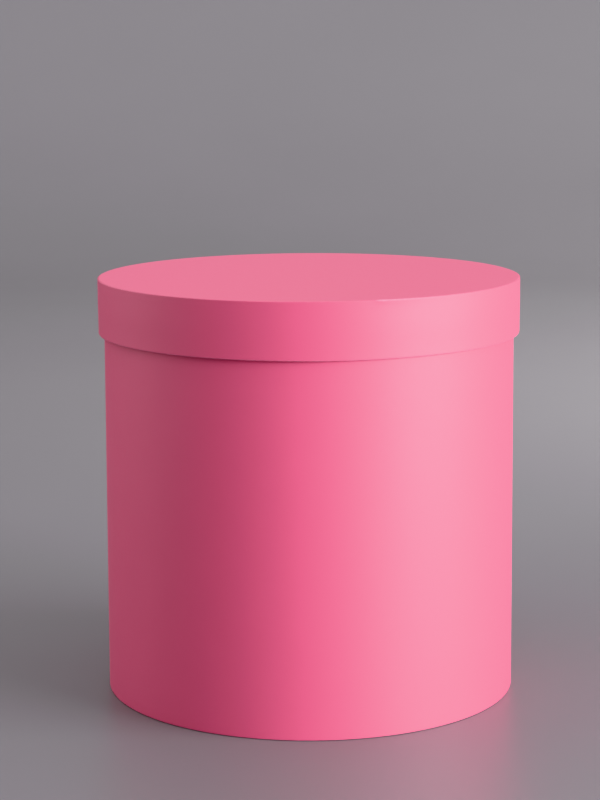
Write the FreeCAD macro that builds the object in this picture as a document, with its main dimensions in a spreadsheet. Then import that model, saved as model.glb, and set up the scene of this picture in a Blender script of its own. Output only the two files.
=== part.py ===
"""Round rigid flower box with a lift-off lid, built layer by layer as a box maker glues it.

The body is a rolled greyboard wall with a disc let into its foot, covered in pink paper outside
and white paper inside. The lid is a shallower ring with a disc let into its top, made the same way.
Frame: +Z up, origin at the centre of the underside, the glued seam of the body at +Y. Millimetres.
"""
import FreeCAD, Part
import math
import os

import Sketcher

DEGREES = 180.0 / math.pi

# name, value, what it is
DRIVING_SIZES = (
    ("body_diameter", 200.0, "over the paper"),
    ("body_height", 200.0, "underside to rim"),
    ("lid_height", 27.0, "foot of the skirt to the top"),
    ("wall_board", 1.8, "greyboard of both rolled walls"),
    ("disc_board", 2.0, "greyboard of both discs"),
    ("wrap_paper", 0.18, "pink covering paper"),
    ("lining_paper", 0.12, "white lining paper"),
    ("tape_paper", 0.12, "kraft tape over the board joints"),
    ("tape_width", 40.0, "of which half lies each side of the joint"),
    ("joint_gap", 0.4, "between the ends of a rolled board"),
    ("fit_gap", 0.5, "radial play of the lid on the body"),
    ("wrap_lap", 12.0, "overlap where a covering strip meets itself"),
    ("lining_lap", 8.0, "overlap where a lining strip meets itself"),
    ("mouth_turn_in", 18.0, "body paper folded into the mouth"),
    ("skirt_turn_in", 14.0, "lid paper folded up inside the skirt"),
    ("foot_tab", 15.0, "notched tabs folded under the foot"),
    ("shoulder_tab", 11.0, "notched tabs folded down over the lid's shoulder"),
    ("tab_gap", 1.4, "opening of a notch at the tips of its tabs"),
    ("tab_root", 0.8, "uncut paper between a fold and its notches"),
    ("tab_count", 60.0, "tabs round a fold"),
    ("cover_inset", 3.0, "foot cover disc inside the body's edge"),
    ("mouth_setback", 6.0, "lining stops this far below the rim"),
    ("skirt_setback", 5.0, "lid lining stops this far above the skirt's foot"),
    ("step_slope", 1.5, "length over which paper settles past an edge under it"),
    ("lid_seam_angle", 66.0, "where the skirt paper meets itself, from +X about +Z"),
    ("body_lining_seam_angle", 35.0, "where the wall lining meets itself"),
    ("lid_lining_seam_angle", 140.0, "where the skirt lining meets itself"),
)


class Size:
    """A length that knows both its number and the sheet expression behind it."""

    def __init__(self, number, text):
        self.number = float(number)
        self.text = text

    def combine(self, other, symbol, number):
        return Size(number, f"({self.text} {symbol} {other.text})")

    def __add__(self, other):
        return self.combine(other, "+", self.number + other.number)

    def __sub__(self, other):
        return self.combine(other, "-", self.number - other.number)

    def __mul__(self, factor):
        return Size(self.number * factor, f"({self.text} * {factor})")

    def over(self, other):
        return self.combine(other, "/", self.number / other.number)


def make_sheet(document):
    """The driving sizes as a sheet, and a dictionary of them as Size objects."""
    sheet = document.addObject("Spreadsheet::Sheet", "Sizes")
    sizes = {}
    for row, (name, value, note) in enumerate(DRIVING_SIZES, start=1):
        sheet.set(f"A{row}", name)
        sheet.set(f"B{row}", str(value))
        sheet.set(f"C{row}", note)
        sheet.setAlias(f"B{row}", name)
        sizes[name] = Size(value, f"Sizes.{name}")
    document.recompute()
    return sizes


def bind(target, path, size):
    target.setExpression(path, size.text)


# ---------------------------------------------------------------- sketches and features


def origin_plane(body, role):
    return next(plane for plane in body.Origin.OriginFeatures if plane.Role == role)


def new_body(document, label):
    body = document.addObject("PartDesign::Body", label)
    body.Label = label
    return body


def outline(body, name, role, corners):
    """A closed polygon sketch. Each corner is (across, up) as Sizes; None is on the axis."""
    sketch = body.newObject("Sketcher::SketchObject", name)
    sketch.AttachmentSupport = (origin_plane(body, role), [""])
    sketch.MapMode = "FlatFace"
    points = [
        FreeCAD.Vector(across.number if across else 0.0, up.number if up else 0.0, 0.0)
        for across, up in corners
    ]
    count = len(points)
    for index, point in enumerate(points):
        sketch.addGeometry(Part.LineSegment(point, points[(index + 1) % count]), False)
    for index in range(count):
        sketch.addConstraint(Sketcher.Constraint("Coincident", index, 2, (index + 1) % count, 1))
    origin, vertical_axis, horizontal_axis = (-1, 1), -2, -1
    for index, (across, up) in enumerate(corners):
        for kind, size, axis in (("DistanceX", across, vertical_axis), ("DistanceY", up, horizontal_axis)):
            if size is None:
                sketch.addConstraint(Sketcher.Constraint("PointOnObject", index, 1, axis))
                continue
            number = sketch.addConstraint(Sketcher.Constraint(kind, *origin, index, 1, size.number))
            bind(sketch, f"Constraints[{number}]", size)
    return sketch


def turned(body, name, corners, feature="PartDesign::Revolution", sweep=None, centred=False):
    """The profile swept about Z, all the way round or through sweep. It starts at +Y."""
    sketch = outline(body, name + "_profile", "YZ_Plane", corners)
    made = body.newObject(feature, name)
    made.Profile = sketch
    made.ReferenceAxis = (sketch, ["V_Axis"])
    made.Midplane = centred
    if sweep is None:
        made.Angle = 360.0
    else:
        bind(made, "Angle", sweep)
    sketch.Visibility = False
    return made


def rectangle(inner, outer, low, high):
    return [(inner, low), (outer, low), (outer, high), (inner, high)]


def moved_out(path, distance):
    """The same path further from the axis."""
    return [(across + distance, up) for across, up in path]


def sheet_between(path, thickness):
    """The corners of a sheet whose inner face follows path."""
    return path + moved_out(path, thickness)[::-1]


def arc_angle(length, radius):
    """The angle, in degrees, that an arc of that length takes at that radius."""
    return length.over(radius) * DEGREES


def cut_volume(document, body, before):
    """The volume that the last feature took away; a cut that misses stops the script."""
    document.recompute()
    taken = before - body.Shape.Volume
    if taken <= 0:
        raise RuntimeError(f"{body.Label}: a cut took nothing away")
    return taken


# ---------------------------------------------------------------- pieces that repeat


def disc(document, label, radius, thickness, low=None):
    """A flat round piece on the axis, standing on z = 0 or on low."""
    piece = document.addObject("Part::Cylinder", label)
    piece.Label = label
    bind(piece, "Radius", radius)
    bind(piece, "Height", thickness)
    if low:
        bind(piece, "Placement.Base.z", low)
    return piece


def joint_tape(document, label, board_inner, low, high, s):
    """Kraft tape let into the board's inner face, across the butt joint."""
    body = new_body(document, label)
    outer = board_inner + s["tape_paper"]
    sweep = arc_angle(s["tape_width"], board_inner)
    turned(body, label + "_strip", rectangle(board_inner, outer, low, high), sweep=sweep, centred=True)
    return body


def rolled_board(document, label, inner, outer, low, high, s):
    """A greyboard strip rolled into a ring: open butt joint, with a seat for its tape."""
    body = new_body(document, label)
    turned(body, label + "_ring", rectangle(inner, outer, low, high))
    document.recompute()
    full = body.Shape.Volume

    seat = rectangle(inner, inner + s["tape_paper"], low, high)
    sweep = arc_angle(s["tape_width"], inner)
    turned(body, label + "_tape_seat", seat, "PartDesign::Groove", sweep, centred=True)
    full -= cut_volume(document, body, full)

    half_gap = s["joint_gap"] * 0.5
    corners = [
        (half_gap * -1.0, inner - s["wall_board"]),
        (half_gap, inner - s["wall_board"]),
        (half_gap, outer + s["wall_board"]),
        (half_gap * -1.0, outer + s["wall_board"]),
    ]
    slit = outline(body, label + "_joint_outline", "XY_Plane", corners)
    pocket = body.newObject("PartDesign::Pocket", label + "_joint")
    pocket.Profile = slit
    pocket.Type = "ThroughAll"
    pocket.Midplane = True
    slit.Visibility = False
    cut_volume(document, body, full)
    return body


def lap(body, name, path, paper, length):
    """The free end of a strip, lying on its own beginning. Its inner face follows path."""
    turned(body, name, sheet_between(path, paper), sweep=arc_angle(length, path[0][0]))


def notch_ring(document, body, name, role, corners, reversed_cut, depth, s):
    """One V notch through a folded flange, repeated between all its tabs."""
    document.recompute()
    before = body.Shape.Volume
    sketch = outline(body, name + "_outline", role, corners)
    pocket = body.newObject("PartDesign::Pocket", name)
    pocket.Profile = sketch
    pocket.Reversed = reversed_cut
    bind(pocket, "Length", depth)
    sketch.Visibility = False
    one = cut_volume(document, body, before)

    pattern = body.newObject("PartDesign::PolarPattern", name + "_round")
    pattern.Originals = [pocket]
    pattern.Axis = (next(a for a in body.Origin.OriginFeatures if a.Role == "Z_Axis"), [""])
    pattern.Angle = 360.0
    bind(pattern, "Occurrences", s["tab_count"])
    body.Tip = pattern
    whole = cut_volume(document, body, before)
    expected = one * s["tab_count"].number
    if abs(whole - expected) > 0.01 * expected:
        raise RuntimeError(f"{body.Label}: notches took {whole:.2f} mm3, not {expected:.2f}")


def strip_lining(document, label, path, s, seam_angle):
    """A white paper strip inside a wall, glued to the faces that path follows."""
    body = new_body(document, label)
    paper = s["lining_paper"]
    inner_face = moved_out(path, paper * -1.0)
    turned(body, label + "_strip", sheet_between(inner_face, paper))
    lap(body, label + "_lap", moved_out(inner_face, paper * -1.0), paper, s["lining_lap"])
    turn_seam(body, seam_angle)
    return body


def turn_seam(body, seam_angle):
    """A strip is drawn with its seam at +Y; this turns the seam to seam_angle from +X."""
    bind(body, "Placement.Rotation.Angle", seam_angle - Size(90.0, "90"))


# ---------------------------------------------------------------- the body of the box


def make_base(document, s):
    """The seven glued layers that the box's body is made of, from its underside up."""
    paper = s["wrap_paper"]
    radius = s["body_diameter"] * 0.5
    rim = s["body_height"]
    board_outer = radius - paper
    board_inner = board_outer - s["wall_board"]
    cover_top = paper
    board_foot = cover_top + paper
    board_top = rim - paper
    floor = board_foot + s["disc_board"]
    lining_floor = floor + s["lining_paper"]
    turn_in_end = rim - s["mouth_turn_in"]

    wall = rolled_board(document, "base_wall", board_inner, board_outer, board_foot, board_top, s)
    tape = joint_tape(document, "base_wall_tape", board_inner, board_foot, board_top, s)
    bottom = disc(document, "base_bottom_board", board_inner, s["disc_board"], board_foot)
    cover = disc(document, "base_bottom_cover", radius - s["cover_inset"], paper)

    wrap = new_body(document, "base_wrap")
    tab_end = radius - s["foot_tab"]
    turned_in = board_inner - paper
    corners = [
        (tab_end, cover_top),
        (radius, cover_top),
        (radius, rim),
        (turned_in, rim),
        (turned_in, turn_in_end),
        (board_inner, turn_in_end),
        (board_inner, board_top),
        (board_outer, board_top),
        (board_outer, board_foot),
        (tab_end, board_foot),
    ]
    turned(wrap, "base_wrap_sheet", corners)
    lap(wrap, "base_wrap_lap", [(radius, cover_top), (radius, rim)], paper, s["wrap_lap"])
    notch = [
        (s["tab_gap"] * -0.5, tab_end - paper),
        (s["tab_gap"] * 0.5, tab_end - paper),
        (None, board_outer - s["tab_root"]),
    ]
    notch_ring(document, wrap, "base_wrap_notch", "XY_Plane", notch, True, board_foot * 2.0, s)

    glued_to = [
        (board_inner, lining_floor),
        (board_inner, turn_in_end - s["step_slope"]),
        (turned_in, turn_in_end),
        (turned_in, rim - s["mouth_setback"]),
    ]
    lining = strip_lining(document, "base_wall_lining", glued_to, s, s["body_lining_seam_angle"])
    floor_lining = disc(document, "base_bottom_lining", board_inner, s["lining_paper"], floor)
    return [wall, tape, bottom, wrap, cover, lining, floor_lining]


# ---------------------------------------------------------------- the lid


def make_lid(document, s):
    """The seven glued layers of the lid, which rests on the body's rim."""
    paper = s["wrap_paper"]
    liner = s["lining_paper"]
    rim = s["body_height"]
    seat_radius = s["body_diameter"] * 0.5 + s["fit_gap"]
    turned_in = seat_radius + liner
    board_inner = turned_in + paper
    board_outer = board_inner + s["wall_board"]
    skirt_outer = board_outer + paper
    shoulder_outer = skirt_outer + paper
    board_top = rim + liner + s["disc_board"]
    top = board_top + paper
    foot = top - s["lid_height"]
    board_foot = foot + paper
    turn_in_end = foot + s["skirt_turn_in"]
    tab_end = top - s["shoulder_tab"]

    ring = rolled_board(document, "lid_ring", board_inner, board_outer, board_foot, board_top, s)
    tape = joint_tape(document, "lid_ring_tape", board_inner, board_foot, board_top, s)
    top_board = disc(document, "lid_top_board", board_inner, s["disc_board"], rim + liner)

    cover = new_body(document, "lid_top_cover")
    corners = [
        (None, board_top),
        (board_outer, board_top),
        (board_outer, tab_end),
        (skirt_outer, tab_end),
        (skirt_outer, top),
        (None, top),
    ]
    turned(cover, "lid_top_cover_sheet", corners)
    notch = [
        (s["tab_gap"] * -0.5, tab_end - paper),
        (s["tab_gap"] * 0.5, tab_end - paper),
        (None, board_top - s["tab_root"]),
    ]
    notch_ring(document, cover, "lid_top_cover_notch", "XZ_Plane", notch, False, shoulder_outer, s)

    wrap = new_body(document, "lid_skirt_wrap")
    slope_foot = tab_end - s["step_slope"]
    corners = [
        (turned_in, foot),
        (skirt_outer, foot),
        (skirt_outer, slope_foot),
        (shoulder_outer, tab_end),
        (shoulder_outer, top),
        (skirt_outer, top),
        (skirt_outer, tab_end),
        (board_outer, slope_foot),
        (board_outer, board_foot),
        (board_inner, board_foot),
        (board_inner, turn_in_end),
        (turned_in, turn_in_end),
    ]
    turned(wrap, "lid_skirt_wrap_sheet", corners)
    lap(wrap, "lid_skirt_wrap_lap", corners[1:5], paper, s["wrap_lap"])
    turn_seam(wrap, s["lid_seam_angle"])

    glued_to = [
        (turned_in, foot + s["skirt_setback"]),
        (turned_in, turn_in_end),
        (board_inner, turn_in_end + s["step_slope"]),
        (board_inner, rim),
    ]
    lining = strip_lining(document, "lid_skirt_lining", glued_to, s, s["lid_lining_seam_angle"])
    top_lining = disc(document, "lid_top_lining", board_inner, liner, rim)
    return [ring, tape, top_board, cover, wrap, lining, top_lining]


# ---------------------------------------------------------------- check and write


def check_document(document, pieces):
    for item in document.Objects:
        if "Invalid" in item.State or "Error" in item.State:
            raise RuntimeError(f"{item.Label} failed: {item.State}")
    for piece in pieces:
        shape = piece.Shape
        if shape.isNull() or not shape.isValid() or not shape.Solids:
            raise RuntimeError(f"{piece.Label} has no valid solid")
        box = shape.BoundBox
        print(
            f"{piece.Label:20s} solids {len(shape.Solids)} volume {shape.Volume:11.2f} mm3 "
            f"radius {box.XMax:7.2f} z {box.ZMin:7.2f} to {box.ZMax:7.2f}"
        )


def main():
    document = FreeCAD.newDocument("flower_box")
    sizes = make_sheet(document)
    pieces = make_base(document, sizes) + make_lid(document, sizes)
    document.recompute()
    check_document(document, pieces)
    os.makedirs("parts", exist_ok=True)
    for piece in pieces:
        piece.Shape.exportStep(os.path.join("parts", piece.Label + ".step"))


main()
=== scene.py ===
"""Looks of the round pink flower box: every sheet of paper is a fine mesh, glued round the CAD boards.

A sheet is drawn as its visible face and then given its thickness. The face of a strip is one line of points
across its folds, repeated at each step round the box. The flat middle of a disc is a square net.
Metres, in the frame of the CAD model: +Z up, origin at the centre of the underside, the front towards -Y.
"""
import math
from collections import namedtuple

import bmesh
import bpy
from mathutils import Matrix, Vector


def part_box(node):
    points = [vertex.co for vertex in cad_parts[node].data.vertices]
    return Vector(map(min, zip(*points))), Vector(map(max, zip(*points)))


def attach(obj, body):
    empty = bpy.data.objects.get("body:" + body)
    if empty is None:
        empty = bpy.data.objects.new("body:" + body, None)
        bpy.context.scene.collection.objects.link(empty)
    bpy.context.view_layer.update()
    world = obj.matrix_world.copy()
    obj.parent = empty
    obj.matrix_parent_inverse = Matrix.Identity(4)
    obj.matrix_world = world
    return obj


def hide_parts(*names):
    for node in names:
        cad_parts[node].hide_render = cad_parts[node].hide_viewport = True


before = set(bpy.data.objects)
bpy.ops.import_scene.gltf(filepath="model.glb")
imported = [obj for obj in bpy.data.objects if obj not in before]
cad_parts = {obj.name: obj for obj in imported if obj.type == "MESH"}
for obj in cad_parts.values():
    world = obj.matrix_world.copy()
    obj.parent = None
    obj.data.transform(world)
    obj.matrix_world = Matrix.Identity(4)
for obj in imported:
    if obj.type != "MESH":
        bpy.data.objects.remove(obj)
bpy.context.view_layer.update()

MM = 0.001


# ---------------------------------------------------------------- sizes, read from the frame


def reach(node):
    """The nearest and farthest distance of a CAD node's points from the axis."""
    across = [math.hypot(v.co.x, v.co.y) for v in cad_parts[node].data.vertices]
    return min(across), max(across)


def levels(node):
    """The lowest and highest level of a CAD node."""
    low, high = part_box(node)
    return low.z, high.z


PINK = levels("base_bottom_cover")[1]                   # thickness of the pink paper
FLOOR_TOP = levels("base_bottom_lining")[1]
WHITE = FLOOR_TOP - levels("base_bottom_lining")[0]     # thickness of the white paper

WALL_IN, WALL_OUT = reach("base_wall")
BODY = WALL_OUT + PINK                                  # radius of the paper outside the wall
MOUTH = WALL_IN - PINK                                  # radius of the paper turned into the mouth
FOOT, RIM = levels("base_wrap")                         # the closed lid's ceiling rests on the rim
TAB_TIP = reach("base_wrap")[0]
COVER = reach("base_bottom_cover")[1]
LINING_TOP = levels("base_wall_lining")[1]

RING_IN, RING_OUT = reach("lid_ring")
SKIRT = RING_OUT + PINK                                 # radius of the tabs folded over the shoulder
SHOULDER = SKIRT + PINK                                 # radius of the skirt's paper where it covers them
SKIRT_MOUTH = RING_IN - PINK                            # radius of the same paper turned up inside
LID_FOOT = levels("lid_skirt_wrap")[0]
LID_TAB_END, LID_TOP = levels("lid_top_cover")
LID_LINING_FOOT = levels("lid_skirt_lining")[0]
LID_LINING_R = reach("lid_top_lining")[1]
MIDDLE = Vector((0.0, 0.0, LID_TOP / 2))


# ---------------------------------------------------------------- sizes, angles and colours of the looks


FOLD = 0.6 * MM                # radius that the paper takes over an edge of board
FOOT_FOLD = 0.28 * MM          # the same under the foot, where the box's weight presses it
INNER_FOLD = 0.45 * MM         # the same on the inner side of a turned-in edge
PAST_INNER_FOLD = 1.5 * MM     # from a turned-in edge to the first row of points past its fold
MOUTH_TURN_IN = 18 * MM
SKIRT_TURN_IN = 14 * MM
NOTCH_HALF = 0.7 * MM          # half the opening of a notch, at the tips of its tabs
UNCUT = 0.8 * MM               # paper left whole between an edge of board and its notches
FOOT_TAB_ROOT = WALL_OUT - UNCUT
LID_TAB_ROOT = LID_TOP - PINK - UNCUT

STEP = 4.5 * MM                # length over which a lining settles past an edge under it
LAP_RAMP = 1.6 * MM            # the same where a strip runs down off its own beginning
WRAP_LAP = 11.8 * MM
LINING_LAP = 8 * MM
TRIM = 0.3 * MM                # from a fold to the strip's beginning, which is trimmed there under its lap
OUTER_LIFT = 1.0               # rise of a lap outside the box, in paper thicknesses
INNER_LIFT = -0.4              # the same where the lap is turned in and nothing is left under it
LINING_LIFT = -1.0             # the same for a lining, which laps towards the axis

HIDDEN_EDGE = 0.5              # wear of a cut edge, 0 to 1, where it is turned in or under the foot
LINING_EDGE = 0.6              # the same on a lining
SHOWN_EDGE = 0.8               # the same round the lid's shoulder
LID_WEAR = 0.3                 # share of its papers' wear that the lid shows all round
TOP_HIGHLIGHT = 2.0                # painted highlight that the front stretch of the rim adds to that share on the top's fold
EDGE_HIGHLIGHT = 2.2               # painted highlight that the same stretch adds to the cut edge of the skirt's paper

SLACK = 0.05 * MM              # depth to which the board's skin waves under its paper
LINING_SLACK = 0.03 * MM       # the same on the body's floor
RIPPLE_CLEAR = 2 * MM          # flat part of the wall next to the foot and the rim
RIPPLE_FADE = 6 * MM           # length over which the waves then set in
NET_FADE = 0.75                # share of a disc's radius at which its waves begin to fade

TABS = 60
COLUMNS = 8 * TABS
COVER_COLUMNS = 12 * TABS
LINING_COLUMNS = COLUMNS // 2

BACK = 90.0                    # angles about the axis, in degrees from +X towards +Y
LID_SEAM = 66.0
BODY_LINING_SEAM = 35.0
LID_LINING_SEAM = 140.0
RIM_HIGHLIGHT_ANGLE = -73.0                  # where the painted highlight along the front of the rim begins
RIM_HIGHLIGHT_RISE = 0.8 * MM         # length over which the painted highlight sets in
RIM_HIGHLIGHT_FADE = 18 * MM           # length over which it falls to about a third
RIM_EDGE_PROUD = 0.22 * MM        # how far the cut edge of the skirt's paper stands off there

PINK_COLOUR = (0.71, 0.106, 0.206)     # colours are linear RGB
# pale pink of worn folds and cut edges, also the colour of the painted highlight on the front of the lid's
# rim
PINK_WEAR_AND_HIGHLIGHT = (0.88, 0.40, 0.54)
WHITE_COLOUR = (0.80, 0.79, 0.76)
BOARD_COLOUR = (0.27, 0.24, 0.20)
KRAFT_COLOUR = (0.42, 0.24, 0.11)
MOTTLING = 0.045               # share by which the paper's colour strays either way
CLOUD_DEPTH = 0.02 * MM        # relief of the clouded pulp
FLOOR_DARK, FLOOR_PALE = (0.175, 0.167, 0.171), (0.189, 0.180, 0.185)
KEY_COLOUR = (1.0, 0.985, 1.09)
SURROUND_COLOUR = (0.93, 0.92, 0.96)


# ---------------------------------------------------------------- the line that a sheet follows

# out and up place a point. lift is how far the lapped end of a strip rises there, in paper thicknesses away
# from the axis. The fourth field is how worn the paper is there, 0 to 1, from how sharply it is bent; on the
# front of the lid's rim a painted highlight is added to it. under is whether the strip's beginning,
# below the lap, is still there: it is trimmed at the folds.
Point = namedtuple("Point", "out up lift worn under", defaults=(0.0, 0.0, False))


def run(start, end, steps, lift=0.0, under=False):
    """Points on a straight run. It leaves out its last one, which the next stretch begins with."""
    for step in range(steps):
        share = step / steps
        out = start[0] + (end[0] - start[0]) * share
        yield Point(out, start[1] + (end[1] - start[1]) * share, lift, under=under)


def bend(centre, radius, start, end, lifts=(0.0, 0.0), steps=6):
    """Points round a fold, from angle start to end in degrees. 0 points away from the axis and 90 up."""
    for step in range(steps + 1):
        share = step / steps
        turn = math.radians(start + (end - start) * share)
        lift = lifts[0] + (lifts[1] - lifts[0]) * share
        worn = math.sin(math.pi * share) ** 0.5
        yield Point(centre[0] + radius * math.cos(turn), centre[1] + radius * math.sin(turn), lift, worn)


def ease(share):
    """0 to 1 with no corner at either end."""
    share = min(1.0, max(0.0, share))
    return share * share * (3.0 - 2.0 * share)


def settle(start, end, steps, lift=0.0, under=False):
    """A run that changes its distance from the axis gently, over an edge under it."""
    for step in range(steps):
        share = step / steps
        out = start[0] + (end[0] - start[0]) * ease(share)
        yield Point(out, start[1] + (end[1] - start[1]) * share, lift, under=under)


# ---------------------------------------------------------------- sheets


def sway(*waves):
    """The sum of sine waves, brought to 0 to 1; each wave is (strength, phase in radians)."""
    total = sum(strength * math.sin(phase) for strength, phase in waves)
    return 0.5 + 0.5 * total / sum(strength for strength, phase in waves)


def ripple(angle, up):
    """Slow unevenness of rolled board, 0 to 1: waves round and up the box that never line up."""
    return sway(
        (1.0, 5 * angle + 1.3 + 9 * up),
        (0.8, 11 * angle + 0.4 - 17 * up),
        (0.5, 23 * angle + 2.1 + 31 * up),
        (0.4, 2 * angle + 61 * up),
    )


def swell(x, y):
    """Slow unevenness of flat board, 0 to 1: two waves that cross."""
    return sway((1.0, 38 * x + 21 * y + 0.7), (0.7, 47 * y - 29 * x + 2.0))


class Sheet:
    """One sheet of paper, collected face by face and then given its thickness."""

    WELD = 0.0015 * MM         # points of two patches that are closer than this become one
    CREASE = math.radians(40)  # a sharper fold than this is shaded as an edge

    def __init__(self, name, thickness):
        self.name = name
        self.thickness = thickness
        self.mesh = bmesh.new()
        # wear at folds and cut edges, 0 to 1, which on the front of the lid's rim also carries a painted
        # highlight
        self.worn = self.mesh.verts.layers.float.new("worn")
        self.flat = self.mesh.loops.layers.uv.new("flat")

    def patch(self, rows):
        """Joins rows of (place, worn, (along, across)) into a net of faces."""
        grid = []
        for row in rows:
            line = []
            for place, worn, flat in row:
                vertex = self.mesh.verts.new(place)
                vertex[self.worn] = worn
                line.append((vertex, flat))
            grid.append(line)
        for near, far in zip(grid, grid[1:]):
            for index in range(len(near) - 1):
                corners = [near[index], far[index], far[index + 1], near[index + 1]]
                face = self.mesh.faces.new([corner[0] for corner in corners])
                face.smooth = True
                for loop, corner in zip(face.loops, corners):
                    loop[self.flat].uv = corner[1]

    def finish(self, material, body, slot, *nodes):
        """Welds the patches, thickens the sheet away from its visible face and hands it to the frame."""
        bmesh.ops.remove_doubles(self.mesh, verts=self.mesh.verts, dist=self.WELD)
        data = bpy.data.meshes.new(self.name)
        self.mesh.to_mesh(data)
        self.mesh.free()
        piece = bpy.data.objects.new(self.name, data)
        bpy.context.scene.collection.objects.link(piece)
        thicken = piece.modifiers.new("thickness", "SOLIDIFY")
        thicken.thickness = self.thickness
        thicken.offset = -1.0
        thicken.use_even_offset = True
        bpy.context.view_layer.update()
        solid = bpy.data.meshes.new_from_object(piece.evaluated_get(bpy.context.evaluated_depsgraph_get()))
        piece.modifiers.clear()
        piece.data = solid
        bpy.data.meshes.remove(data)
        solid.name = self.name
        solid.set_sharp_from_angle(angle=self.CREASE)
        solid.materials.clear()
        solid.materials.append(material)
        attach(piece, body)
        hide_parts(*nodes)


def lengths(line):
    """How far along the line each of its points is."""
    along = [0.0]
    for a, b in zip(line, line[1:]):
        along.append(along[-1] + math.hypot(b.out - a.out, b.up - a.up))
    return along


def wrap(sheet, line, seam, lap, columns=COLUMNS, notch=None, shape=None):
    """A strip glued round the box. It starts at seam with its lapped end on top, and ends under that.

    lap is in metres. With no lap the two ends are welded together.
    notch(out, up) is half the width of the gap between two tabs there. shape(point, out, angle) moves a
    point: it returns its distance from the axis, its level and how worn it is, with any painted highlight
    added.
    """
    radius = max(p.out for p in line)
    step = 2.0 * math.pi / columns
    seam = math.radians(seam)
    ramp = LAP_RAMP / radius
    lap_angle = lap / radius
    per_tab = columns // TABS if notch else columns
    along = lengths(line)

    def column(travelled, shift, points):
        row = []
        for index in points:
            p = line[index]
            lifted = 1.0 - ease((travelled - lap_angle) / ramp) if lap else 0.0
            turned = travelled
            if notch:
                turned -= shift * notch(p.out, p.up) / p.out
            out, up, worn = p.out + p.lift * lifted * sheet.thickness, p.up, p.worn
            angle = seam + turned
            if shape:
                out, up, worn = shape(p, out, angle)
            place = Vector((out * math.cos(angle), out * math.sin(angle), up))
            row.append((place, worn, (turned * radius, along[index])))
        return row

    whole = range(len(line))
    for first in range(0, columns, per_tab):
        rows = []
        for number in range(per_tab + 1):
            shift = 2.0 * number / per_tab - 1.0
            rows.append(column((first + number) * step, shift, whole))
        sheet.patch(rows)
    if lap:
        kept = [index for index in whole if line[index].under]
        beneath = []
        for number in range(int(lap_angle / step) + 1):
            beneath.append(column(2.0 * math.pi + number * step, 0.0, kept))
        sheet.patch(beneath)


def disc(sheet, radius, columns, up, waves, facing_up):
    """The flat middle of a round sheet, as a square net drawn out to a circle.

    waves is the depth of the slow waves in it. They fade out towards its edge.
    """
    side = columns // 4
    rows = []
    for i in range(side + 1):
        row = []
        for j in range(side + 1):
            a, b = 2.0 * i / side - 1.0, 2.0 * j / side - 1.0
            if not a and not b:
                out, angle = 0.0, 0.0
            elif abs(a) > abs(b):
                out, angle = a, math.pi / 4 * b / a
            else:
                out, angle = b, math.pi / 2 - math.pi / 4 * a / b
            x, y = radius * out * math.cos(angle), radius * out * math.sin(angle)
            inside = 1.0 - ease((abs(out) - NET_FADE) / (1.0 - NET_FADE))
            sunk = waves * inside * swell(x, y)
            row.append((Vector((x, y, up - sunk)), 0.0, (x, y)))
        rows.append(row)
    sheet.patch(rows if facing_up else rows[::-1])


# ---------------------------------------------------------------- materials


def new_material(name):
    """A new node material, with its tree and its shader."""
    material = bpy.data.materials.new(name)
    material.use_nodes = True
    shader = material.node_tree.nodes["Principled BSDF"]
    return material, material.node_tree, shader


def noise(tree, source, scale, detail, roughness=0.5, stretch=None):
    """Noise over source; stretch scales the coordinates first, so that the grain is drawn out."""
    node = tree.nodes.new("ShaderNodeTexNoise")
    node.inputs["Scale"].default_value = scale
    node.inputs["Detail"].default_value = detail
    node.inputs["Roughness"].default_value = roughness
    if stretch:
        mapping = tree.nodes.new("ShaderNodeMapping")
        mapping.inputs["Scale"].default_value = stretch
        tree.links.new(source, mapping.inputs["Vector"])
        source = mapping.outputs["Vector"]
    tree.links.new(source, node.inputs["Vector"])
    return node.outputs["Fac"]


def spread(tree, value, low, high):
    """Draws the middle half of value's 0 to 1 out to low to high, and holds the rest at those two."""
    node = tree.nodes.new("ShaderNodeMapRange")
    node.inputs["From Min"].default_value = 0.25
    node.inputs["From Max"].default_value = 0.75
    node.inputs["To Min"].default_value = low
    node.inputs["To Max"].default_value = high
    tree.links.new(value, node.inputs["Value"])
    return node.outputs["Result"]


def maths(tree, operation, first, second):
    """The result of a math node; each of first and second is a socket or a number."""
    node = tree.nodes.new("ShaderNodeMath")
    node.operation = operation
    for socket, value in zip(node.inputs, (first, second)):
        if isinstance(value, (int, float)):
            socket.default_value = value
        else:
            tree.links.new(value, socket)
    return node.outputs["Value"]


def blend(tree, factor, first, second):
    """The mix of two colours; each is a socket or an RGB tuple."""
    node = tree.nodes.new("ShaderNodeMix")
    node.data_type = "RGBA"
    tree.links.new(factor, node.inputs[0])
    for socket, value in zip((node.inputs[6], node.inputs[7]), (first, second)):
        if isinstance(value, tuple):
            socket.default_value = (*value, 1.0)
        else:
            tree.links.new(value, socket)
    return node.outputs[2]


def relief(tree, shader, heights):
    """Chained bumps; heights are (value, depth in metres)."""
    normal = None
    for value, depth in heights:
        bump = tree.nodes.new("ShaderNodeBump")
        bump.inputs["Strength"].default_value = 1.0
        bump.inputs["Distance"].default_value = depth
        tree.links.new(value, bump.inputs["Height"])
        if normal:
            tree.links.new(normal, bump.inputs["Normal"])
        normal = bump.outputs["Normal"]
    tree.links.new(normal, shader.inputs["Normal"])


def scaled(colour, factor):
    """An RGB tuple with every channel times factor."""
    return tuple(channel * factor for channel in colour)


def coordinates(tree):
    """The place on the object in metres, and the place on the flat sheet."""
    node = tree.nodes.new("ShaderNodeTexCoord")
    return node.outputs["Object"], node.outputs["UV"]


def weighted(tree, *parts):
    """The sum of values, each times its weight."""
    total = 0.0
    for value, weight in parts:
        total = maths(tree, "ADD", maths(tree, "MULTIPLY", value, weight), total)
    return total


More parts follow.
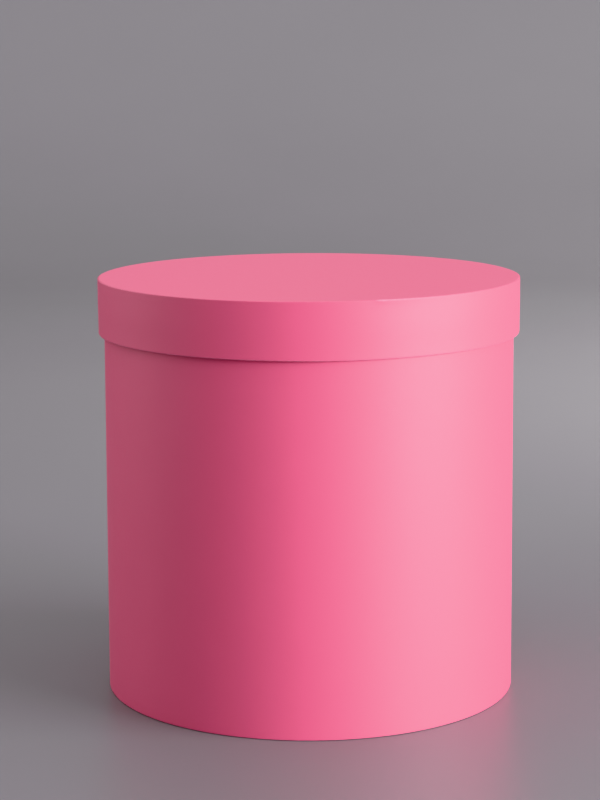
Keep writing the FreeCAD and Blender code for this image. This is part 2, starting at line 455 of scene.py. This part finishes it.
def paper_material(name, colour, wear_and_highlight_colour, roughness, depth):
    """Smooth dyed paper: clouded pulp, short fibres and a fine tooth, paler where it is bent hard and where a
    highlight is painted on the lid's rim.
    """
    material, tree, shader = new_material(name)
    place, flat = coordinates(tree)
    cloud = noise(tree, place, scale=55.0, detail=3.0)
    pulp = noise(tree, place, scale=420.0, detail=4.0, roughness=0.6)
    along = noise(tree, flat, scale=1500.0, detail=3.0, roughness=0.6, stretch=(0.35, 1.0, 1.0))
    across = noise(tree, flat, scale=1700.0, detail=3.0, roughness=0.6, stretch=(1.0, 0.3, 1.0))
    tooth = noise(tree, place, scale=5200.0, detail=2.0)
    fibre = maths(tree, "MAXIMUM", along, across)

    tone = weighted(
        tree,
        (spread(tree, cloud, low=0.35, high=0.65), 0.55),
        (spread(tree, pulp, low=0.2, high=0.8), 0.25),
        (fibre, 0.2),
    )
    face = blend(tree, tone, scaled(colour, 1.0 - MOTTLING), scaled(colour, 1.0 + MOTTLING))
    # paler towards the worn colour where the paper is worn, and on the front of the lid's rim where a
    # highlight is painted on
    worn = tree.nodes.new("ShaderNodeAttribute")
    worn.attribute_name = "worn"
    wear_and_highlight_mix = maths(tree, "MULTIPLY", worn.outputs["Fac"], spread(tree, pulp, low=0.05, high=0.40))
    tree.links.new(blend(tree, wear_and_highlight_mix, face, wear_and_highlight_colour), shader.inputs["Base Color"])

    uneven = spread(tree, pulp, low=roughness - 0.03, high=roughness + 0.03)
    tree.links.new(uneven, shader.inputs["Roughness"])
    shader.inputs["IOR"].default_value = 1.5
    shader.inputs["Specular IOR Level"].default_value = 0.9
    relief(tree, shader, [(cloud, CLOUD_DEPTH), (fibre, depth), (tooth, depth * 0.35)])
    return material


def board_material():
    """Greyboard: pressed grey waste paper with darker and paler flecks."""
    material, tree, shader = new_material("greyboard")
    place = coordinates(tree)[0]
    cloud = noise(tree, place, scale=90.0, detail=4.0)
    pulp = noise(tree, place, scale=900.0, detail=5.0, roughness=0.7)
    flecks = noise(tree, place, scale=1400.0, detail=2.0, stretch=(1.0, 1.0, 0.25))
    clouded = spread(tree, cloud, low=0.0, high=1.0)
    base = blend(tree, clouded, scaled(BOARD_COLOUR, 0.88), scaled(BOARD_COLOUR, 1.12))
    base = blend(tree, spread(tree, pulp, low=0.0, high=0.5), base, scaled(BOARD_COLOUR, 1.45))
    dark = maths(tree, "MULTIPLY", maths(tree, "GREATER_THAN", flecks, 0.68), 0.5)
    tree.links.new(blend(tree, dark, base, scaled(BOARD_COLOUR, 0.4)), shader.inputs["Base Color"])
    tree.links.new(spread(tree, pulp, low=0.82, high=0.94), shader.inputs["Roughness"])
    relief(tree, shader, [(cloud, 0.08 * MM), (pulp, 0.05 * MM)])
    return material


def kraft_material():
    """Gummed kraft tape: brown, faintly ribbed across its length, with a dull shine."""
    material, tree, shader = new_material("kraft_tape")
    place = coordinates(tree)[0]
    ribs = noise(tree, place, scale=700.0, detail=3.0, roughness=0.6, stretch=(1.0, 1.0, 0.12))
    pulp = noise(tree, place, scale=240.0, detail=5.0, roughness=0.65)
    clouded = spread(tree, pulp, low=0.1, high=0.9)
    base = blend(tree, clouded, scaled(KRAFT_COLOUR, 0.82), scaled(KRAFT_COLOUR, 1.18))
    base = blend(tree, spread(tree, ribs, low=0.0, high=0.35), base, scaled(KRAFT_COLOUR, 0.6))
    tree.links.new(base, shader.inputs["Base Color"])
    tree.links.new(spread(tree, pulp, low=0.42, high=0.58), shader.inputs["Roughness"])
    relief(tree, shader, [(ribs, 0.03 * MM), (pulp, 0.02 * MM)])
    return material


def floor_material():
    """Pale studio card, slightly satin, so that it holds a soft reflection."""
    material, tree, shader = new_material("studio_floor")
    place = coordinates(tree)[0]
    cloud = noise(tree, place, scale=3.0, detail=3.0)
    grain = noise(tree, place, scale=900.0, detail=2.0)
    tree.links.new(blend(tree, cloud, FLOOR_DARK, FLOOR_PALE), shader.inputs["Base Color"])
    tree.links.new(spread(tree, cloud, low=0.36, high=0.40), shader.inputs["Roughness"])
    shader.inputs["Specular IOR Level"].default_value = 0.40
    relief(tree, shader, [(grain, 0.01 * MM)])
    return material


# ---------------------------------------------------------------- the body's paper


def foot_notch(out, up):
    """Half the gap between two tabs under the foot: widest at their tips, nothing past their roots."""
    if up > FOOT + PINK or out > FOOT_TAB_ROOT:
        return 0.0
    return NOTCH_HALF * (FOOT_TAB_ROOT - out) / (FOOT_TAB_ROOT - TAB_TIP)


def make_base_wrap(material):
    """The strip round the body: notched under the foot, up the wall, over the rim and down into the mouth."""
    turned_to = RIM - MOUTH_TURN_IN
    wall_foot, wall_top = FOOT + 4 * MM, RIM - 4 * MM
    line = [
        *run((TAB_TIP, FOOT), (FOOT_TAB_ROOT, FOOT), 5),
        *run((FOOT_TAB_ROOT, FOOT), (BODY - FOOT_FOLD, FOOT), 1),
        *bend((BODY - FOOT_FOLD, FOOT + FOOT_FOLD), FOOT_FOLD, -90, 0, (0.0, OUTER_LIFT)),
        *run((BODY, FOOT + FOOT_FOLD + TRIM), (BODY, wall_foot), 2, OUTER_LIFT, True),
        *run((BODY, wall_foot), (BODY, wall_top), 24, OUTER_LIFT, True),
        *run((BODY, wall_top), (BODY, RIM - FOLD), 2, OUTER_LIFT, True),
        *bend((BODY - FOLD, RIM - FOLD), FOLD, 0, 90, (OUTER_LIFT, 0.0)),
        *bend((MOUTH + INNER_FOLD, RIM - INNER_FOLD), INNER_FOLD, 90, 180, (0.0, INNER_LIFT)),
        *run((MOUTH, RIM - PAST_INNER_FOLD), (MOUTH, turned_to), 6, INNER_LIFT),
        Point(MOUTH, turned_to, INNER_LIFT, HIDDEN_EDGE),
    ]

    def shape(p, out, angle):
        above_foot, below_rim = p.up - FOOT - RIPPLE_CLEAR, RIM - RIPPLE_CLEAR - p.up
        on_wall = ease(above_foot / RIPPLE_FADE) * ease(below_rim / RIPPLE_FADE) if p.out >= WALL_OUT else 0.0
        return out - SLACK * on_wall * ripple(angle, p.up), p.up, p.worn

    sheet = Sheet("base_wrap_paper", PINK)
    wrap(sheet, line, BACK, WRAP_LAP, notch=foot_notch, shape=shape)
    sheet.finish(material, "base", "pink_paper", "base_wrap")


def make_base_bottom_cover(material):
    """The disc that hides the tabs under the foot. It sinks between them, and inside their tips."""
    sunk, between = 0.15 * MM, 0.07 * MM
    line = [
        *run((TAB_TIP - 4 * MM, sunk), (TAB_TIP - 0.8 * MM, sunk), 3),
        Point(TAB_TIP - 0.8 * MM, sunk * 0.75),
        Point(TAB_TIP - 0.2 * MM, sunk * 0.25),
        *run((TAB_TIP + 0.5 * MM, 0.0), (COVER, 0.0), 12),
        Point(COVER, 0.0, worn=HIDDEN_EDGE),
    ]

    def shape(p, out, angle):
        from_notch = abs(math.remainder(angle - math.radians(BACK), 2 * math.pi / TABS) * out)
        half = foot_notch(out, FOOT) + 0.35 * MM
        near = 1.0 - ease(from_notch / half) if out > TAB_TIP else 0.0
        return out, p.up + between * near * ease((COVER - out) / (3 * MM)), p.worn

    sheet = Sheet("base_bottom_cover_paper", PINK)
    wrap(sheet, line, BACK, 0.0, columns=COVER_COLUMNS, shape=shape)
    disc(sheet, line[0].out, COVER_COLUMNS, sunk, 0.0, facing_up=False)
    sheet.finish(material, "base", "pink_paper", "base_bottom_cover")


def make_base_lining(material):
    """White strip inside the wall. It hangs from just below the rim, over the turned-in paper's edge."""
    turned_to = RIM - MOUTH_TURN_IN
    over, below = MOUTH - WHITE, WALL_IN - WHITE
    line = [
        Point(over, LINING_TOP, LINING_LIFT, LINING_EDGE, True),
        *run((over, LINING_TOP - 0.4 * MM), (over, turned_to), 4, LINING_LIFT, True),
        *settle((over, turned_to), (below, turned_to - STEP), 6, LINING_LIFT, True),
        *run((below, turned_to - STEP), (below, FLOOR_TOP), 24, LINING_LIFT, True),
        Point(below, FLOOR_TOP, LINING_LIFT, under=True),
    ]

    def shape(p, out, angle):
        low = 0.2 * MM + 0.12 * MM * math.sin(3 * angle + 0.5) + 0.05 * MM * math.sin(17 * angle)
        return out, p.up - low * ease((p.up - LINING_TOP + 6 * MM) / (6 * MM)), p.worn

    sheet = Sheet("base_wall_lining_paper", WHITE)
    wrap(sheet, line, BODY_LINING_SEAM, LINING_LAP, columns=LINING_COLUMNS, shape=shape)
    sheet.finish(material, "base", "white_paper", "base_wall_lining")


def make_flat_lining(material, name, body, up, radius, facing_up):
    """A round white sheet: the body's floor, or the ceiling of the lid."""
    sheet = Sheet(name + "_paper", WHITE)
    edge = 2 * MM
    rim = [*run((radius, up), (radius - edge, up), 3), Point(radius - edge, up)]
    waves = LINING_SLACK if facing_up else 0.0
    wrap(sheet, rim if facing_up else rim[::-1], BACK, 0.0, columns=LINING_COLUMNS)
    disc(sheet, radius - edge, LINING_COLUMNS, up, waves, facing_up)
    sheet.finish(material, body, "white_paper", name)


# ---------------------------------------------------------------- the lid's paper


def rim_highlight(angle):
    """The painted highlight on the front of the rim, 0 to 1; the skirt's cut edge also stands off by it. It
    starts abruptly and fades to the right.
    """
    past = math.remainder(angle - math.radians(RIM_HIGHLIGHT_ANGLE), 2 * math.pi) * SKIRT
    return ease(past / RIM_HIGHLIGHT_RISE) * math.exp(-max(past, 0.0) / RIM_HIGHLIGHT_FADE)


def shoulder_notch(out, up):
    """Half the gap between two tabs folded down over the lid's shoulder."""
    if up > LID_TAB_ROOT:
        return 0.0
    return NOTCH_HALF * (LID_TAB_ROOT - up) / (LID_TAB_ROOT - LID_TAB_END)


def make_lid_top_cover(material):
    """The disc over the lid, its notched edge folded down over the shoulder."""
    edge = SKIRT - FOLD
    line = [
        *run((SKIRT, LID_TAB_END), (SKIRT, LID_TAB_ROOT), 6),
        *run((SKIRT, LID_TAB_ROOT), (SKIRT, LID_TOP - FOLD), 1),
        *bend((edge, LID_TOP - FOLD), FOLD, 0, 90, steps=8),
        *run((edge - 0.3 * MM, LID_TOP), (edge - 2 * MM, LID_TOP), 2),
        Point(edge - 2 * MM, LID_TOP),
    ]

    def shape(p, out, angle):
        # wear on the fold all round, plus a painted highlight along the front of the rim
        return out, p.up, p.worn * (LID_WEAR + TOP_HIGHLIGHT * rim_highlight(angle))

    sheet = Sheet("lid_top_cover_paper", PINK)
    wrap(sheet, line, BACK, 0.0, notch=shoulder_notch, shape=shape)
    disc(sheet, line[-1].out, COLUMNS, LID_TOP, SLACK, facing_up=True)
    sheet.finish(material, "lid", "pink_paper", "lid_top_cover")


def make_lid_skirt_wrap(material):
    """The strip round the skirt, turned up inside its foot. At the shoulder its cut edge shows.

    Along the painted highlight on the front of the rim, that edge stands off the shoulder a little.
    """
    turned_to = LID_FOOT + SKIRT_TURN_IN
    cut = LID_TOP - 0.30 * MM
    step_foot = LID_FOOT + 2.5 * MM
    line = [
        Point(SKIRT_MOUTH, turned_to, INNER_LIFT, HIDDEN_EDGE),
        *run((SKIRT_MOUTH, turned_to - 0.5 * MM), (SKIRT_MOUTH, LID_FOOT + PAST_INNER_FOLD), 5, INNER_LIFT),
        *bend((SKIRT_MOUTH + INNER_FOLD, LID_FOOT + INNER_FOLD), INNER_FOLD, 180, 270, (INNER_LIFT, 0.0)),
        *bend((SKIRT - FOLD, LID_FOOT + FOLD), FOLD, -90, 0, (0.0, OUTER_LIFT)),
        *run((SKIRT, LID_FOOT + FOLD + TRIM), (SKIRT, step_foot), 2, OUTER_LIFT, True),
        *settle((SKIRT, step_foot), (SHOULDER, LID_TAB_END), 10, OUTER_LIFT, True),
        *run((SHOULDER, LID_TAB_END), (SHOULDER, cut - 2 * MM), 4, OUTER_LIFT, True),
        *run((SHOULDER, cut - 2 * MM), (SHOULDER, cut), 6, OUTER_LIFT, True),
        Point(SHOULDER, cut, OUTER_LIFT, SHOWN_EDGE, True),
    ]

    def near_cut(up, band):
        return ease((up - cut + band) / band)

    def shape(p, out, angle):
        if p.out < SKIRT:
            return out, p.up, p.worn
        top = near_cut(p.up, 2.5 * MM)
        proud = RIM_EDGE_PROUD * rim_highlight(angle)
        uneven = 0.04 * MM * math.sin(4 * angle + 1.0) + 0.02 * MM * math.sin(19 * angle)
        # wear of the shoulder's edge all round, plus a painted highlight on the cut edge along the front of
        # the rim
        worn = LID_WEAR * p.worn + EDGE_HIGHLIGHT * rim_highlight(angle) * near_cut(p.up, 0.7 * MM)
        return out + proud * top, p.up + (uneven + proud * 0.6) * top, worn

    sheet = Sheet("lid_skirt_wrap_paper", PINK)
    wrap(sheet, line, LID_SEAM, WRAP_LAP, shape=shape)
    sheet.finish(material, "lid", "pink_paper", "lid_skirt_wrap")


def make_lid_lining(material):
    """White strip inside the skirt, from the ceiling down over the turned-up paper's edge."""
    turned_to = LID_FOOT + SKIRT_TURN_IN
    over, above = SKIRT_MOUTH - WHITE, RING_IN - WHITE
    line = [
        *run((above, RIM), (above, turned_to + STEP), 5, LINING_LIFT, True),
        *settle((above, turned_to + STEP), (over, turned_to), 6, LINING_LIFT, True),
        *run((over, turned_to), (over, LID_LINING_FOOT + 0.4 * MM), 5, LINING_LIFT, True),
        Point(over, LID_LINING_FOOT, LINING_LIFT, LINING_EDGE, True),
    ]
    sheet = Sheet("lid_skirt_lining_paper", WHITE)
    wrap(sheet, line, LID_LINING_SEAM, LINING_LAP, columns=LINING_COLUMNS)
    sheet.finish(material, "lid", "white_paper", "lid_skirt_lining")


# ---------------------------------------------------------------- studio


def make_floor(material):
    """A round floor that sweeps up to a wall all the way round, beyond every camera."""
    flat, sweep, wall = 1.7, 1.4, 1.5
    sweep_steps, columns = 16, 96
    profile = [(0.4, 0.0), (1.2, 0.0), (flat, 0.0)]
    for step in range(1, sweep_steps + 1):
        turn = math.radians(90 * step / sweep_steps)
        profile.append((flat + sweep * math.sin(turn), sweep * (1.0 - math.cos(turn))))
    profile.append((flat + sweep, wall))
    mesh = bmesh.new()
    rings = []
    for out, up in profile:
        ring = []
        for number in range(columns):
            angle = 2 * math.pi * number / columns
            ring.append(mesh.verts.new((out * math.cos(angle), out * math.sin(angle), up)))
        rings.append(ring)
    mesh.faces.new(rings[0])
    for inner, outer in zip(rings, rings[1:]):
        for number in range(columns):
            after = (number + 1) % columns
            face = mesh.faces.new([inner[number], outer[number], outer[after], inner[after]])
            face.smooth = True
    bmesh.ops.recalc_face_normals(mesh, faces=mesh.faces)
    data = bpy.data.meshes.new("studio_floor")
    mesh.to_mesh(data)
    mesh.free()
    data.materials.append(material)
    floor = bpy.data.objects.new("studio_floor", data)
    bpy.context.scene.collection.objects.link(floor)


def softbox(name, place, target, size, power, colour=(1.0, 1.0, 1.0)):
    """An area light at place that faces target. It lights the scene, and no camera sees it."""
    light = bpy.data.lights.new(name, "AREA")
    light.shape = "RECTANGLE"
    light.size, light.size_y = size
    light.energy = power
    light.color = colour
    lamp = bpy.data.objects.new(name, light)
    lamp.location = place
    lamp.rotation_mode = "QUATERNION"
    lamp.rotation_quaternion = (place - target).to_track_quat("Z", "Y")
    lamp.visible_camera = False
    bpy.context.scene.collection.objects.link(lamp)


def around(azimuth, elevation, distance):
    """A place round the middle of the box. Azimuth 0 is in front of it, 90 to its right."""
    a, e = math.radians(azimuth), math.radians(elevation)
    towards = Vector((math.sin(a) * math.cos(e), -math.cos(a) * math.cos(e), math.sin(e)))
    return MIDDLE + towards * distance


def make_lights():
    """A low wide key from the right, a weak fill from the left, and a lamp for the wall behind the box."""
    key_place = around(azimuth=65, elevation=11, distance=2.3)
    fill_place = around(azimuth=-96, elevation=10, distance=1.7)
    wall_place, wall_spot = Vector((1.0, 0.6, 0.7)), Vector((0.4, 2.4, 0.2))
    softbox("key", key_place, MIDDLE, size=(1.76, 0.62), power=120.0, colour=KEY_COLOUR)
    softbox("fill", fill_place, MIDDLE, size=(1.5, 0.5), power=6.5)
    softbox("wall", wall_place, wall_spot, size=(0.9, 0.4), power=25.5)


def make_camera():
    """A long lens a little above the lid, looking slightly down."""
    distance, height = 1.0611, 0.3246
    pitch, yaw, roll = 7.231, 0.231, -0.266
    data = bpy.data.cameras.new("camera")
    data.lens = 98.2
    data.shift_y = -0.125
    data.clip_start, data.clip_end = 0.05, 20.0
    camera = bpy.data.objects.new("camera", data)
    aim = (
        Matrix.Rotation(math.radians(yaw), 4, "Z")
        @ Matrix.Rotation(math.radians(90 - pitch), 4, "X")
        @ Matrix.Rotation(math.radians(roll), 4, "Z")
    )
    camera.matrix_world = Matrix.Translation((0.0, -distance, height)) @ aim
    bpy.context.scene.collection.objects.link(camera)
    bpy.context.scene.camera = camera


def make_world():
    """An even, faintly cool surround, and a tone curve that runs gently up to white."""
    world = bpy.data.worlds.new("studio")
    world.use_nodes = True
    sky = world.node_tree.nodes["Background"]
    sky.inputs["Color"].default_value = (*SURROUND_COLOUR, 1.0)
    sky.inputs["Strength"].default_value = 1.18
    bpy.context.scene.world = world
    bpy.context.scene.view_settings.view_transform = "Khronos PBR Neutral"


# ---------------------------------------------------------------- everything


def main():
    """The studio, the materials of the CAD parts, and the eight sheets of paper."""
    make_camera()
    make_world()
    make_floor(floor_material())
    make_lights()

    white_worn = scaled(WHITE_COLOUR, 1.05)
    pink = paper_material("pink_paper", PINK_COLOUR, PINK_WEAR_AND_HIGHLIGHT, roughness=0.56, depth=0.010 * MM)
    white = paper_material("white_paper", WHITE_COLOUR, white_worn, roughness=0.7, depth=0.008 * MM)
    board, kraft = board_material(), kraft_material()
    for node, finish in (
        ("base_wall", board),
        ("base_bottom_board", board),
        ("lid_ring", board),
        ("lid_top_board", board),
        ("base_wall_tape", kraft),
        ("lid_ring_tape", kraft),
    ):
        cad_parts[node].material_slots[0].material = finish

    make_base_wrap(pink)
    make_base_bottom_cover(pink)
    make_base_lining(white)
    make_flat_lining(white, "base_bottom_lining", "base", FLOOR_TOP, WALL_IN, facing_up=True)
    make_lid_top_cover(pink)
    make_lid_skirt_wrap(pink)
    make_lid_lining(white)
    make_flat_lining(white, "lid_top_lining", "lid", RIM, LID_LINING_R, facing_up=False)


main()
